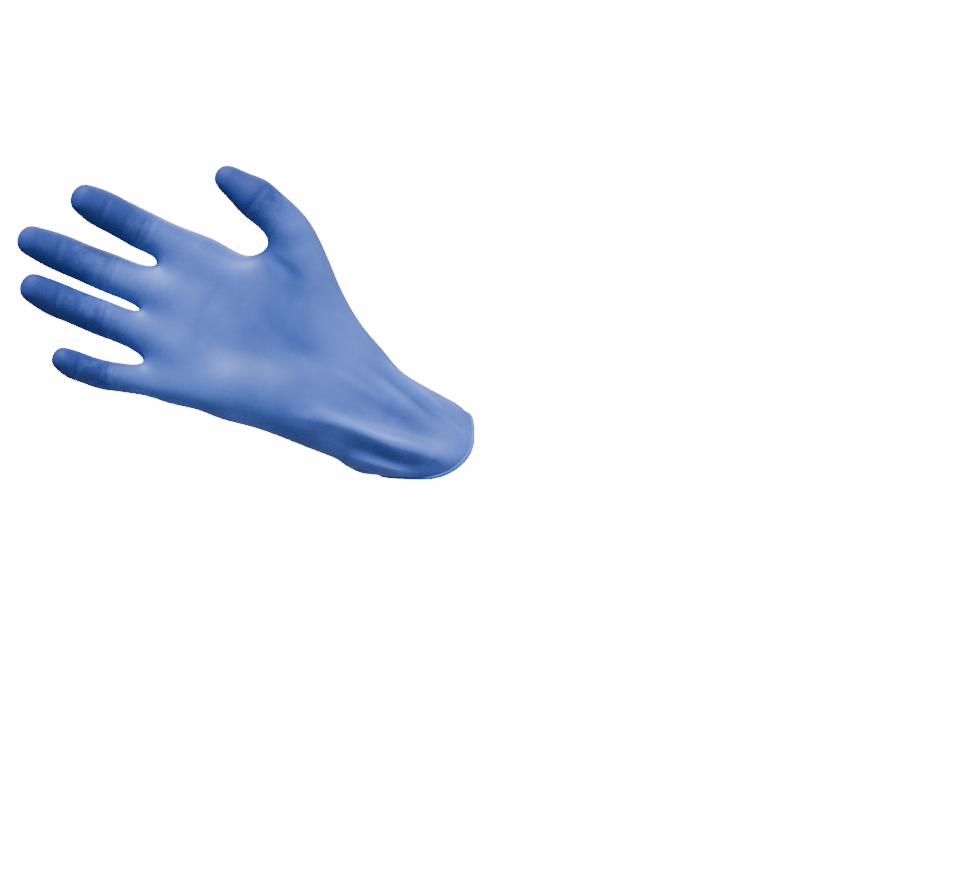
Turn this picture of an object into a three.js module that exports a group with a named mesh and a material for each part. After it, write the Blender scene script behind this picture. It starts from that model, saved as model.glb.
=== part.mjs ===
// A thin nitrile exam glove in the shape that it has on a right hand, with its cuff pulled along the
// forearm. It is one dipped film: four fingers, a thumb, the palm, the wrist and a cuff with a rolled
// bead, hollow from the cuff to the fingertips. Millimetres. The origin is the middle of the wrist inside
// the glove, +Z runs along the hand to the fingertips, +X is the thumb's side and -Y faces out of the palm.
import * as THREE from "three";

// The film. A real one is about 0.1 mm thick: the wall is the thinnest that a solid part carries.
const WALL = 1.0;
const BEAD_DIAMETER = 2.6;

// The hand that fills the glove.
const PALM_LENGTH = 96; // from the wrist to the middle knuckle
const PALM_WIDTH = 84; // across the knuckles
const PALM_DEPTH = 27; // through the knuckles
const WRIST_WIDTH = 58;
const WRIST_DEPTH = 40;
const HEEL_DIAMETER = 27; // the heel of the hand, on the little finger's side
const THUMB_WEB = 15; // the thickness of the fold between the thumb and the index finger
const FINGER_WEB = 15; // the thickness of the folds between the fingers

// Each finger from its knuckle to its tip, and its width at the middle joint.
const INDEX_LENGTH = 79.5;
const INDEX_WIDTH = 20.6;
const MIDDLE_LENGTH = 92;
const MIDDLE_WIDTH = 20.6;
const RING_LENGTH = 86;
const RING_WIDTH = 18.8;
const LITTLE_LENGTH = 67.5;
const LITTLE_WIDTH = 16.6;
const THUMB_LENGTH = 117; // from the wrist
const THUMB_WIDTH = 20.5;

// The cuff: how far it reaches past the wrist where it is longest, its width at its end, and how far the
// pull draws it off the forearm on the palm's side.
const CUFF_LENGTH = 70;
const CUFF_WIDTH = 54;
const CUFF_PULL = 20;
const FOLD_WIDTH = 5;

// How softly the film bridges the hollows between two forms.
const PALM_BLEND = 12;
const KNUCKLE_BLEND = 5;
const FINGER_BLEND = 1.5;
const THUMB_BLEND = 13;
const CUFF_BLEND = 10;
const PULL_BLEND = 6;
const FOLD_BLEND = 5;

// The net of four-sided faces that is drawn over the form.
const FINGER_COLUMNS = 4; // across the front of a finger, and as many across its back
const SIDE_STEPS = 3; // round the side of a finger or of the hand
const FINGER_RINGS = 11;
const THUMB_RINGS = 10;
const CUFF_ROWS = 12;
const PALM_ROWS = 14;
const BEAD_STEPS = 6;
const RELAX_PASSES = 14;

const { sin, cos, min, max, abs, sqrt, PI } = Math;
const radians = THREE.MathUtils.degToRad;
const vec = (x, y, z) => new THREE.Vector3(x, y, z);
const mix = (a, b, t) => a + (b - a) * t;
const smooth = (t) => t * t * (3 - 2 * t);

// Fingers. across and up place the knuckle, as shares of half the palm's width and of its length, and
// knuckle is half its thickness as a share of the palm's depth.
// phalanges are shares of the finger's length. spread and curl turn each phalanx, in degrees, towards the
// thumb's side and towards the palm. girth is each joint's width as a share of the finger's.
const FINGERS = [
  {
    length: LITTLE_LENGTH, width: LITTLE_WIDTH, across: -0.72, up: 0.83, knuckle: 0.32,
    phalanges: [0.585, 0.24, 0.105], spread: [-18.5, -6, 5], curl: [10, 25, 36], girth: [1.0, 0.92, 0.93, 0.76],
  },
  {
    length: RING_LENGTH, width: RING_WIDTH, across: -0.3, up: 0.94, knuckle: 0.43,
    phalanges: [0.48, 0.29, 0.145], spread: [-6, -3.4, 2], curl: [6, 17, 27], girth: [1.0, 1.0, 0.98, 0.83],
  },
  {
    length: MIDDLE_LENGTH, width: MIDDLE_WIDTH, across: 0.21, up: 1.0, knuckle: 0.45,
    phalanges: [0.45, 0.31, 0.155], spread: [-4.5, -3.5, -3], curl: [5, 14, 24], girth: [0.98, 1.0, 0.95, 0.78],
  },
  {
    length: INDEX_LENGTH, width: INDEX_WIDTH, across: 0.79, up: 0.97, knuckle: 0.44,
    phalanges: [0.47, 0.31, 0.125], spread: [-0.5, 1.5, 2], curl: [8, 19, 29], girth: [1.0, 1.0, 0.96, 0.79],
  },
];

// The folds between the fingers, from the little finger's to the index finger's: how far up they lie, as a
// share of the first phalanx of the fingers that they join.
const WEBS = [{ up: 0.04 }, { up: -0.06 }, { up: 0.3 }];

// The thumb in the same columns, from the wrist: two lengths of its ball, then its two phalanges.
const THUMB = {
  length: THUMB_LENGTH, width: THUMB_WIDTH, across: 0.43, up: 0.11,
  phalanges: [0.3, 0.262, 0.253, 0.148], spread: [39, 53, 16, 9], curl: [9, 9, 8, 8],
  girth: [1.64, 1.38, 1.08, 1.0, 0.71],
};

// The fold between the thumb and the index finger. index is a share of the way from the index finger's
// knuckle to the wrist, thumb one from the thumb's knuckle back along its ball, front a share of the palm's
// depth, and girth one of the fold's thickness.
const THUMB_FAN = [
  { index: 0.21, thumb: 0.04, front: 0.05, girth: 0.9 },
  { index: 0.4, thumb: 0.35, front: 0.15, girth: 1.05 },
  { index: 0.58, thumb: 0.8, front: 0.15, girth: 1.2 },
];

// Sections of the wrist and of the cuff round the forearm. down is a share of the cuff's length, width a
// mix of the wrist's width (0) and the cuff's end (1), across and back shares of the wrist's width and
// depth towards the thumb's side and towards the back of the hand.
const SLEEVE = [
  { down: -0.2, width: 0.9, across: 0.05, back: 0 },
  { down: 0.0, width: 0.6, across: 0.045, back: 0.02 },
  { down: 0.28, width: 0.2, across: -0.045, back: 0.06 },
  { down: 0.8, width: 0.9, across: -0.05, back: 0.08 },
  { down: 1.6, width: 1.0, across: -0.05, back: 0.08 },
];

// Sections of the part that is pulled off the forearm, from the heel of the hand to the place where it is
// held. width and deep are shares of the wrist's width and depth, pull a share of the cuff's pull.
const PULLED = [
  { down: 0.0, width: 0.86, deep: 0.66, across: 0.02, pull: 0.35 },
  { down: 0.9, width: 0.46, deep: 0.66, across: -0.03, pull: 1.0 },
  { down: 1.5, width: 0.4, deep: 0.66, across: -0.03, pull: 1.1 },
];

// How far the cuff reaches, as shares of its length, at turns round it: 0 is the little finger's side,
// a quarter the palm, a half the thumb's side and three quarters the back.
const RIM = [
  { turn: 0.0, reach: 0.38 },
  { turn: 0.06, reach: 0.62 },
  { turn: 0.14, reach: 0.88 },
  { turn: 0.25, reach: 1.0 },
  { turn: 0.4, reach: 0.96 },
  { turn: 0.55, reach: 0.88 },
  { turn: 0.75, reach: 0.64 },
  { turn: 0.9, reach: 0.45 },
  { turn: 1.0, reach: 0.38 },
];

// Folds that the pull draws from the hand to the place where the cuff is held, each a run of points:
// across and out are shares of half the wrist's width and depth, out towards the palm, and down a share of
// the cuff's length. girth is the fold's width as a share of the folds' width.
const FOLDS = [
  { girth: 1, run: [[-0.41, 0.82, -0.16], [-0.35, 1.06, 0.28], [-0.24, 1.27, 0.68], [-0.05, 1.34, 0.95]] },
  { girth: 0.8, run: [[-0.86, 0.35, 0.2], [-0.72, 0.72, 0.5], [-0.5, 1.0, 0.82]] },
];

// A unit direction that leans from +Z to the thumb's side by spread and to the palm by curl, in degrees.
function direction(spread, curl) {
  const s = radians(spread);
  const c = radians(curl);
  return vec(sin(s) * cos(c), -sin(c), cos(s) * cos(c));
}

// The joints of a finger or thumb: its place, half its width there, and the frame that its rings use.
function jointsOf(start, limb) {
  const joints = [{ at: start.clone(), radius: (limb.width / 2) * limb.girth[0] }];
  limb.phalanges.forEach((share, i) => {
    const step = direction(limb.spread[i], limb.curl[i]).multiplyScalar(limb.length * share);
    const at = joints[i].at.clone().add(step);
    joints.push({ at, radius: (limb.width / 2) * limb.girth[i + 1] });
  });
  return joints;
}

const fingers = FINGERS.map((f) => {
  const knuckle = vec((PALM_WIDTH / 2) * f.across, 0, PALM_LENGTH * f.up);
  return { ...f, joints: jointsOf(knuckle, f), flat: 0.93 };
});

const thumbRoot = vec((PALM_WIDTH / 2) * THUMB.across, -WRIST_DEPTH * 0.13, PALM_LENGTH * THUMB.up);
const thumb = { ...THUMB, joints: jointsOf(thumbRoot, THUMB), flat: 0.93 };

// A tapered limb between two places. flat is its depth as a share of its width.
function bone(from, to, fromRadius, toRadius, flat) {
  const a = vec(from.x, from.y / flat, from.z);
  const along = vec(to.x, to.y / flat, to.z).sub(a);
  return { a, along, length2: along.lengthSq(), fromRadius, toRadius, flat };
}

function boneChain(joints, flat) {
  return joints.slice(1).map((j, i) => bone(joints[i].at, j.at, joints[i].radius, j.radius, flat));
}

// Rough distance to a bone: exact on its surface, and good enough near it to walk there.
function boneDistance(b, x, y, z) {
  const px = x - b.a.x;
  const py = y / b.flat - b.a.y;
  const pz = z - b.a.z;
  const share = (px * b.along.x + py * b.along.y + pz * b.along.z) / b.length2;
  const t = min(1, max(0, share));
  const dx = px - b.along.x * t;
  const dy = py - b.along.y * t;
  const dz = pz - b.along.z * t;
  return (sqrt(dx * dx + dy * dy + dz * dz) - mix(b.fromRadius, b.toRadius, t)) * b.flat;
}

// The smaller of two distances, rounded where they meet over a width of blend.
function join(a, b, blend) {
  const overlap = max(blend - abs(a - b), 0) / blend;
  return min(a, b) - (overlap * overlap * blend) / 4;
}

const nearest = (bones, blend, x, y, z) =>
  bones.reduce((d, b) => join(d, boneDistance(b, x, y, z), blend), Infinity);

// The palm: a bone to each knuckle, the heel of the hand, and a fold between each two fingers.
const PALM_FLAT = 0.96; // the palm's bones are this much shallower than they are wide
const palmBones = fingers.map((f, i) => {
  const root = vec(WRIST_WIDTH * mix(-0.2, 0.2, i / (fingers.length - 1)), 0, PALM_LENGTH * 0.06);
  return bone(root, f.joints[0].at, WRIST_DEPTH * 0.34, PALM_DEPTH * f.knuckle, PALM_FLAT);
});
const heelRoot = vec(-WRIST_WIDTH * 0.18, -WRIST_DEPTH * 0.14, PALM_LENGTH * 0.08);
const heelTop = vec(-PALM_WIDTH * 0.25, -PALM_DEPTH * 0.2, PALM_LENGTH * 0.58);
palmBones.push(bone(heelRoot, heelTop, HEEL_DIAMETER / 2, HEEL_DIAMETER * 0.48, PALM_FLAT));
WEBS.forEach((w, i) => {
  const [a, b] = [fingers[i], fingers[i + 1]].map((f) => f.joints[0].at.clone().lerp(f.joints[1].at, w.up));
  palmBones.push(bone(a, b, FINGER_WEB / 2, FINGER_WEB / 2, PALM_FLAT));
});

// The thumb and the fold from it to the index finger, as bones from one ray of the hand to the other.
const indexKnuckle = fingers[3].joints[0].at;
const thumbWeb = THUMB_FAN.map((w) => {
  const from = indexKnuckle.clone().lerp(thumbRoot, w.index).add(vec(0, -PALM_DEPTH * w.front, 0));
  const to = thumb.joints[2].at.clone().lerp(thumb.joints[1].at, w.thumb);
  return bone(from, to, (THUMB_WEB / 2) * w.girth, (THUMB_WEB / 2) * w.girth, PALM_FLAT);
});
const thumbBones = [...thumbWeb, ...boneChain(thumb.joints, thumb.flat)];
const fingerBones = fingers.map((f) => boneChain(f.joints, f.flat));

// The sleeve round the forearm and the part pulled off it, as chains of flat sections.
const sleeveJoints = SLEEVE.map((s) => ({
  at: vec(WRIST_WIDTH * s.across, WRIST_DEPTH * s.back, -CUFF_LENGTH * s.down),
  radius: mix(WRIST_WIDTH, CUFF_WIDTH, s.width) / 2,
}));
const pulledJoints = PULLED.map((s) => ({
  at: vec(WRIST_WIDTH * s.across, -CUFF_PULL * s.pull, -CUFF_LENGTH * s.down),
  radius: (WRIST_WIDTH * s.width) / 2,
}));
const sleeveBones = boneChain(sleeveJoints, WRIST_DEPTH / WRIST_WIDTH);
const pulledBones = boneChain(pulledJoints, (WRIST_DEPTH / WRIST_WIDTH) * PULLED[0].deep);

const foldBones = FOLDS.flatMap((f) =>
  boneChain(
    f.run.map(([across, out, down]) => ({
      at: vec((across * WRIST_WIDTH) / 2, (-out * WRIST_DEPTH) / 2, -CUFF_LENGTH * down),
      radius: (f.girth * FOLD_WIDTH) / 2,
    })),
    1,
  ),
);

// The whole form: below zero inside the film's outer face, above zero outside it.
function form(x, y, z) {
  let digits = Infinity;
  for (const bones of fingerBones) {
    digits = join(digits, nearest(bones, FINGER_BLEND, x, y, z), FINGER_BLEND);
  }
  let d = join(nearest(palmBones, PALM_BLEND, x, y, z), digits, KNUCKLE_BLEND);
  d = join(d, nearest(thumbBones, FINGER_BLEND * 2, x, y, z), THUMB_BLEND);
  let cuff = join(nearest(sleeveBones, 1, x, y, z), nearest(pulledBones, 1, x, y, z), PULL_BLEND);
  cuff = join(cuff, nearest(foldBones, 1, x, y, z), FOLD_BLEND);
  return join(d, cuff, CUFF_BLEND);
}

const PROBE = 0.05; // the step that measures the form's slope
function slopeAt(p) {
  const here = form(p.x, p.y, p.z);
  const slope = vec(
    form(p.x + PROBE, p.y, p.z) - here,
    form(p.x, p.y + PROBE, p.z) - here,
    form(p.x, p.y, p.z + PROBE) - here,
  ).divideScalar(PROBE);
  return { here, slope };
}

// Moves a point along the slope until it lies on the form, and returns the way that the form faces there.
function settle(p, steps) {
  let facing = null;
  for (let i = 0; i < steps; i++) {
    const { here, slope } = slopeAt(p);
    p.addScaledVector(slope, -here / max(slope.lengthSq(), 0.05));
    facing = slope.normalize();
  }
  return facing;
}

// How far the cuff reaches below the wrist at an angle round it.
function cuffDepth(angle) {
  const turn = (angle / (2 * PI) + 1) % 1;
  const i = max(0, RIM.findIndex((r) => r.turn > turn) - 1);
  const t = (turn - RIM[i].turn) / (RIM[i + 1].turn - RIM[i].turn);
  return CUFF_LENGTH * mix(RIM[i].reach, RIM[i + 1].reach, t);
}

// A point on the form at an angle round the cuff and a height, found from the cuff's middle outwards.
function onSleeve(angle, z) {
  const axis = vec(0, (z / CUFF_LENGTH) * CUFF_PULL * 0.3, z);
  let near = 0;
  let far = WRIST_WIDTH * 1.2;
  for (let i = 0; i < 24; i++) {
    const half = (near + far) / 2;
    const inside = form(axis.x - cos(angle) * half, axis.y - sin(angle) * half, z) < 0;
    [near, far] = inside ? [half, far] : [near, half];
  }
  return vec(axis.x - cos(angle) * near, axis.y - sin(angle) * near, z);
}

// The net's points and its four-sided faces, each wound to face out of the glove.
const points = [];
const quads = [];
const addPoint = (p) => points.push(p.clone()) - 1;

// Faces between two rings of equal length.
function stitch(lower, upper) {
  lower.forEach((id, i) => {
    const next = (i + 1) % lower.length;
    quads.push([id, lower[next], upper[next], upper[i]]);
  });
}

// Closes a ring of 2 (wide + deep) points, which starts at a corner, with a dome of wide by deep faces.
function closeRing(ring, wide, deep, middle, heading, radius) {
  const at = (i, j) => {
    if (j === 0) return ring[i];
    if (i === wide) return ring[wide + j];
    if (j === deep) return ring[wide + deep + (wide - i)];
    return ring[2 * wide + deep + (deep - j)];
  };
  const grid = [];
  for (let j = 0; j <= deep; j++) {
    grid.push([]);
    for (let i = 0; i <= wide; i++) {
      const edge = i === 0 || j === 0 || i === wide || j === deep;
      const across = points[at(0, j)].clone().lerp(points[at(wide, j)], i / wide).sub(middle);
      const out = across.addScaledVector(heading, radius).setLength(radius).add(middle);
      grid[j].push(edge ? at(i, j) : addPoint(out));
    }
  }
  for (let j = 0; j < deep; j++) {
    for (let i = 0; i < wide; i++) {
      quads.push([grid[j][i], grid[j][i + 1], grid[j + 1][i + 1], grid[j + 1][i]]);
    }
  }
}

// Places along a limb's joints: the middle, the radius and the heading at a share of its whole run.
function alongLimb(joints, share) {
  const runs = joints.slice(1).map((j, i) => j.at.distanceTo(joints[i].at));
  let left = share * runs.reduce((a, b) => a + b, 0);
  let i = 0;
  while (i < runs.length - 1 && left > runs[i]) left -= runs[i++];
  const t = left / runs[i];
  return {
    at: joints[i].at.clone().lerp(joints[i + 1].at, t),
    radius: mix(joints[i].radius, joints[i + 1].radius, t),
    heading: joints[i + 1].at.clone().sub(joints[i].at).normalize(),
  };
}

// Rings along a limb from a ring of the hand to its tip. angles turn from the limb's side vector to its back.
function drawLimb(limb, root, angles, rings, wide, deep) {
  const back = vec(0, 1, 0);
  let ring = root;
  const addRing = ({ at, radius, heading }) => {
    const side = back.clone().cross(heading).normalize();
    const up = heading.clone().cross(side).normalize();
    const next = angles.map((a) =>
      addPoint(at.clone().addScaledVector(side, radius * cos(a)).addScaledVector(up, radius * sin(a))),
    );
    stitch(ring, next);
    ring = next;
  };
  for (let r = 1; r <= rings; r++) addRing(alongLimb(limb.joints, mix(limb.from, 1, r / rings)));
  const { at, radius, heading } = alongLimb(limb.joints, 1);
  const shoulder = at.clone().addScaledVector(heading, radius * 0.5);
  addRing({ at: shoulder, radius: radius * 0.85, heading });
  closeRing(ring, wide, deep, at, heading, radius);
}

// The ridge of the fold between two limbs, halfway between a share of each: at each depth the film is
// looked for from above, and the ridge is where it is met first.
const SEARCH = 0.25;
function foldRidge(left, leftShare, right, rightShare) {
  const [a, b] = [alongLimb(left.joints, leftShare), alongLimb(right.joints, rightShare)];
  const x = (a.at.x + a.radius + b.at.x - b.radius) / 2;
  const top = max(a.at.z, b.at.z);
  const ridge = vec(x, 0, 0);
  for (let y = min(a.at.y, b.at.y) - FINGER_WEB; y < FINGER_WEB; y += 4 * SEARCH) {
    let z = top;
    while (z > ridge.z && form(x, y, z) > 0) z -= SEARCH;
    if (z > ridge.z) ridge.set(x, y, z);
  }
  return ridge;
}

// The hand's rings, from the cuff's edge to the knuckles. Each runs over the palm from the little finger's
// side to the thumb's side, round that side, over the back and round to where it began.
const ACROSS = FINGER_COLUMNS * fingers.length;
const RING_SIZE = 2 * (ACROSS + SIDE_STEPS);
const SIDE_TURN = 0.14 * PI; // half the turn that a side takes
const frontOf = (ring, j) => ring[j];
const backOf = (ring, j) => ring[2 * ACROSS + SIDE_STEPS - j];

// The angle round the sleeve of each place on a ring.
const ringAngles = Array.from({ length: RING_SIZE }, (_, i) => {
  const half = i < ACROSS + SIDE_STEPS ? 0 : PI;
  const step = i % (ACROSS + SIDE_STEPS);
  const over = min(step, ACROSS) / ACROSS;
  const round = max(step - ACROSS, 0) / SIDE_STEPS;
  return half + mix(SIDE_TURN, PI - SIDE_TURN, over) + round * 2 * SIDE_TURN;
});

// The line that joins the webs, where the palm ends and the fingers begin.
const webStart = (f) => f.joints[0].at.clone().lerp(f.joints[1].at, 0.42);
const webLine = [0, 1, 2].map((i) => webStart(fingers[i]).lerp(webStart(fingers[i + 1]), 0.5));
const littleSide = webStart(fingers[0]).add(vec(-LITTLE_WIDTH / 2, 0, 0));
const indexSide = webStart(fingers[3]).add(vec(INDEX_WIDTH / 2, 0, 0));
const topLine = [littleSide, ...webLine, indexSide];

function topPoint(j) {
  const f = min(fingers.length - 1, Math.floor(j / FINGER_COLUMNS));
  return topLine[f].clone().lerp(topLine[f + 1], j / FINGER_COLUMNS - f);
}

// A point of the hand's top ring, at the foot of the fingers.
function topRingPoint(i) {
  const angle = ringAngles[i];
  const onFront = i <= ACROSS;
  const onBack = i >= ACROSS + SIDE_STEPS && i <= 2 * ACROSS + SIDE_STEPS;
  const j = onFront ? i : onBack ? 2 * ACROSS + SIDE_STEPS - i : i < ACROSS + SIDE_STEPS ? ACROSS : 0;
  const p = topPoint(j);
  return vec(p.x, p.y - (sin(angle) * PALM_DEPTH) / 2, p.z);
}

const rimRing = ringAngles.map((a) => addPoint(onSleeve(a, -cuffDepth(a))));
const topRing = ringAngles.map((_, i) => topRingPoint(i));
const handRings = [rimRing];
for (let r = 1; r <= CUFF_ROWS; r++) {
  const ring = ringAngles.map((a) => addPoint(onSleeve(a, -cuffDepth(a) * (1 - r / CUFF_ROWS))));
  handRings.push(ring);
}
for (let r = 1; r <= PALM_ROWS; r++) {
  const t = r / PALM_ROWS;
  const wrist = handRings[CUFF_ROWS];
  handRings.push(wrist.map((id, i) => addPoint(points[id].clone().lerp(topRing[i], t))));
}

// The thumb takes the place of a block of faces on the thumb's side of the hand.
const THUMB_EDGE = 2; // columns of the palm, and of the back, inside the block
const THUMB_FIRST_ROW = CUFF_ROWS + 2;
const THUMB_ROWS = 5;
const thumbWide = 2 * THUMB_EDGE + SIDE_STEPS;
const blockStart = ACROSS - THUMB_EDGE;
for (let r = 0; r + 1 < handRings.length; r++) {
  const inRows = r >= THUMB_FIRST_ROW && r < THUMB_FIRST_ROW + THUMB_ROWS;
  for (let i = 0; i < RING_SIZE; i++) {
    const next = (i + 1) % RING_SIZE;
    const inBlock = inRows && i >= blockStart && i < blockStart + thumbWide;
    if (!inBlock) {
      quads.push([handRings[r][i], handRings[r][next], handRings[r + 1][next], handRings[r + 1][i]]);
    }
  }
}

const blockTop = THUMB_FIRST_ROW + THUMB_ROWS;
const thumbLoop = [];
for (let i = 0; i < thumbWide; i++) thumbLoop.push(handRings[THUMB_FIRST_ROW][blockStart + i]);
for (let r = 0; r < THUMB_ROWS; r++) thumbLoop.push(handRings[THUMB_FIRST_ROW + r][blockStart + thumbWide]);
for (let i = thumbWide; i > 0; i--) thumbLoop.push(handRings[blockTop][blockStart + i]);
for (let r = THUMB_ROWS; r > 0; r--) thumbLoop.push(handRings[THUMB_FIRST_ROW + r][blockStart]);

// A quarter turn for each side of a ring that starts at a corner, from start.
function cornerAngles(wide, deep, start) {
  const sides = [wide, deep, wide, deep];
  return sides.flatMap((steps, n) => Array.from({ length: steps }, (_, i) => start + (PI / 2) * (n + i / steps)));
}

thumb.from = 0.64;
drawLimb(thumb, thumbLoop, cornerAngles(thumbWide, THUMB_ROWS, -PI / 4), THUMB_RINGS, thumbWide, THUMB_ROWS);

// The webs join the palm to the back between the fingers, and each finger grows from its part of the top.
// The points at the bottom of each fold stay where they are while the net is evened out.
const top = handRings.at(-1);
const fixed = new Set(handRings.slice(0, CUFF_ROWS - 2).flat());
const overRidge = Array.from({ length: SIDE_STEPS - 1 }, (_, s) => FINGER_WEB * 0.36 * ((s + 1) / SIDE_STEPS - 0.5));
const webs = webLine.map((_, w) => {
  const ridge = foldRidge(fingers[w], 0.35, fingers[w + 1], 0.35);
  return overRidge.map((y) => addPoint(ridge.clone().add(vec(0, y, 0))));
});
webs.flat().forEach((id) => fixed.add(id));
const thumbRidge = foldRidge(fingers[3], 0.0, thumb, 0.75);
overRidge.forEach((y, s) => {
  const id = handRings[blockTop][ACROSS + 1 + s];
  points[id].copy(thumbRidge).add(vec(0, y, 0));
  fixed.add(id);
});

fingers.forEach((f, n) => {
  const j0 = n * FINGER_COLUMNS;
  const j1 = j0 + FINGER_COLUMNS;
  const thumbSide = ACROSS + 1;
  const littleEnd = 2 * ACROSS + SIDE_STEPS + 1;
  const rightSide = n < 3 ? webs[n] : top.slice(thumbSide, thumbSide + SIDE_STEPS - 1);
  const leftSide = n > 0 ? [...webs[n - 1]].reverse() : top.slice(littleEnd, littleEnd + SIDE_STEPS - 1);
  const root = [];
  for (let j = j0; j <= j1; j++) root.push(frontOf(top, j));
  root.push(...rightSide);
  for (let j = j1; j >= j0; j--) root.push(backOf(top, j));
  root.push(...leftSide);
  f.from = 0.3;
  const angles = cornerAngles(FINGER_COLUMNS, SIDE_STEPS, -PI * 0.75);
  drawLimb(f, root, angles, FINGER_RINGS, FINGER_COLUMNS, SIDE_STEPS);
});

// Evens the net out: each point moves towards the middle of its neighbours, but stays on the form.
const neighbours = points.map(() => new Set());
for (const q of quads) {
  q.forEach((id, i) => {
    neighbours[id].add(q[(i + 1) % 4]);
    neighbours[q[(i + 1) % 4]].add(id);
  });
}
let facing = points.map((p) => settle(p, 3));
for (let pass = 0; pass < RELAX_PASSES; pass++) {
  const moved = points.map((p, id) => {
    if (fixed.has(id)) return p.clone();
    const middle = vec(0, 0, 0);
    for (const n of neighbours[id]) middle.add(points[n]);
    const step = middle.divideScalar(neighbours[id].size).sub(p);
    return p.clone().addScaledVector(step.addScaledVector(facing[id], -step.dot(facing[id])), 0.6);
  });
  moved.forEach((p, id) => points[id].copy(p));
  facing = points.map((p) => settle(p, 1));
}
points.forEach((p) => settle(p, 4));

// The film's inner face lies one wall below the outer one. The bead closes the gap between them.
const outward = points.map((p) => slopeAt(p).slope.normalize());
const inner = points.map((p, id) => p.clone().addScaledVector(outward[id], -WALL));
const beadRadius = BEAD_DIAMETER / 2;
const beadDrop = sqrt(beadRadius * beadRadius - (WALL * WALL) / 4);
const beadStart = -Math.atan2(beadDrop, WALL / 2);
const beadTurn = PI - 2 * beadStart;
const beadRings = [];
for (let b = 1; b < BEAD_STEPS; b++) {
  const a = beadStart + (beadTurn * b) / BEAD_STEPS;
  beadRings.push(
    rimRing.map((id, i) => {
      const along = points[rimRing[(i + 1) % RING_SIZE]].clone().sub(points[rimRing.at(i - 1)]);
      const down = along.cross(outward[id]).normalize();
      const middle = points[id].clone().add(inner[id]).multiplyScalar(0.5).addScaledVector(down, beadDrop);
      return middle.addScaledVector(outward[id], beadRadius * cos(a)).addScaledVector(down, beadRadius * sin(a));
    }),
  );
}

// One closed body: the outer net, the inner net turned to face the hollow, and the bead between them.
function gloveGeometry() {
  const count = points.length;
  const vertices = [...points, ...inner, ...beadRings.flat()];
  const indices = [];
  const face = (a, b, c, d) => indices.push(a, b, c, a, c, d);
  for (const [a, b, c, d] of quads) {
    face(a, b, c, d);
    face(a + count, d + count, c + count, b + count);
  }
  const beadId = (b, i) => {
    const place = (i + RING_SIZE) % RING_SIZE;
    if (b === 0) return rimRing[place];
    if (b === BEAD_STEPS) return rimRing[place] + count;
    return 2 * count + (b - 1) * RING_SIZE + place;
  };
  for (let b = 0; b < BEAD_STEPS; b++) {
    for (let i = 0; i < RING_SIZE; i++) face(beadId(b, i), beadId(b + 1, i), beadId(b + 1, i + 1), beadId(b, i + 1));
  }
  const geometry = new THREE.BufferGeometry().setFromPoints(vertices).setIndex(indices);
  geometry.computeVertexNormals();
  return geometry;
}

const nitrile = new THREE.MeshStandardMaterial({ color: 0x5f83c9, roughness: 0.5, metalness: 0 });
const glove = new THREE.Mesh(gloveGeometry(), nitrile);
glove.name = "glove";

const group = new THREE.Group();
group.add(glove);

export default group;
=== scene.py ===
"""The looks of a thin blue nitrile exam glove, a right one in the form of use, with its long cuff pulled.

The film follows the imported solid: its net is evened and smoothed, given the folds of the pull and the
creases of the joints, and made as thin as a dipped film is. The rolled bead follows the film's edge.
"""

import logging
import math
from dataclasses import dataclass, field
from enum import Enum

import bmesh
import bpy
import numpy as np
from mathutils import Matrix, Vector
from mathutils.bvhtree import BVHTree
from mathutils.kdtree import KDTree
from mathutils.noise import noise


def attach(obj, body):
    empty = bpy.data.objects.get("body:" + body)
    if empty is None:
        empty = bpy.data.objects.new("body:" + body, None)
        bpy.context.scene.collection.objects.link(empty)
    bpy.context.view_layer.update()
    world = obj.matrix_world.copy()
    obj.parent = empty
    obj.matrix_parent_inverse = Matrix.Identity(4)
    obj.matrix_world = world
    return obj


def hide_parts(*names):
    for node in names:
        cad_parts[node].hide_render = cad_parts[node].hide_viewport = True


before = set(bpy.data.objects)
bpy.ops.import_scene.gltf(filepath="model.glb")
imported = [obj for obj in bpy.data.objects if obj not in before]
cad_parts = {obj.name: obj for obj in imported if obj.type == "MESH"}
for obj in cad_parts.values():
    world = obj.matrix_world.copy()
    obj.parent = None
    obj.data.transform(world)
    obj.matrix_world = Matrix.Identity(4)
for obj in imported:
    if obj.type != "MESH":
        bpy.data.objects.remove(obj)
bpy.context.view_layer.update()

MM = 0.001
NODE = "glove"
BODY = "root"

log = logging.getLogger("exam_glove")


class Side(Enum):
    """The face of the glove that a line lies on. Its value is the way along y in which a probe meets it."""

    PALM = 1.0
    BACK = -1.0


@dataclass(frozen=True)
class Line:
    """A fold or a crease of the film, along points across (x) and up (z) the glove, in millimetres.

    Height is the rise at its middle, below zero for a valley, and width is the distance from the
    middle at which little of it is left. Fade is the share of its run over which each end dies out.
    """

    points: tuple[tuple[float, float], ...]
    height: float
    width: float
    side: Side = Side.PALM
    fade: float = 0.35


@dataclass(frozen=True)
class Joint:
    """A place inside a finger and the finger's half width there, in millimetres."""

    x: float
    y: float
    z: float
    half_width: float

    @property
    def place(self) -> np.ndarray:
        """Gives the place as three numbers."""
        return np.array((self.x, self.y, self.z))


@dataclass(frozen=True)
class Limb:
    """A finger or the thumb, from its base to its tip."""

    name: str
    base: Joint
    middle: Joint
    end: Joint
    tip: Joint


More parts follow.
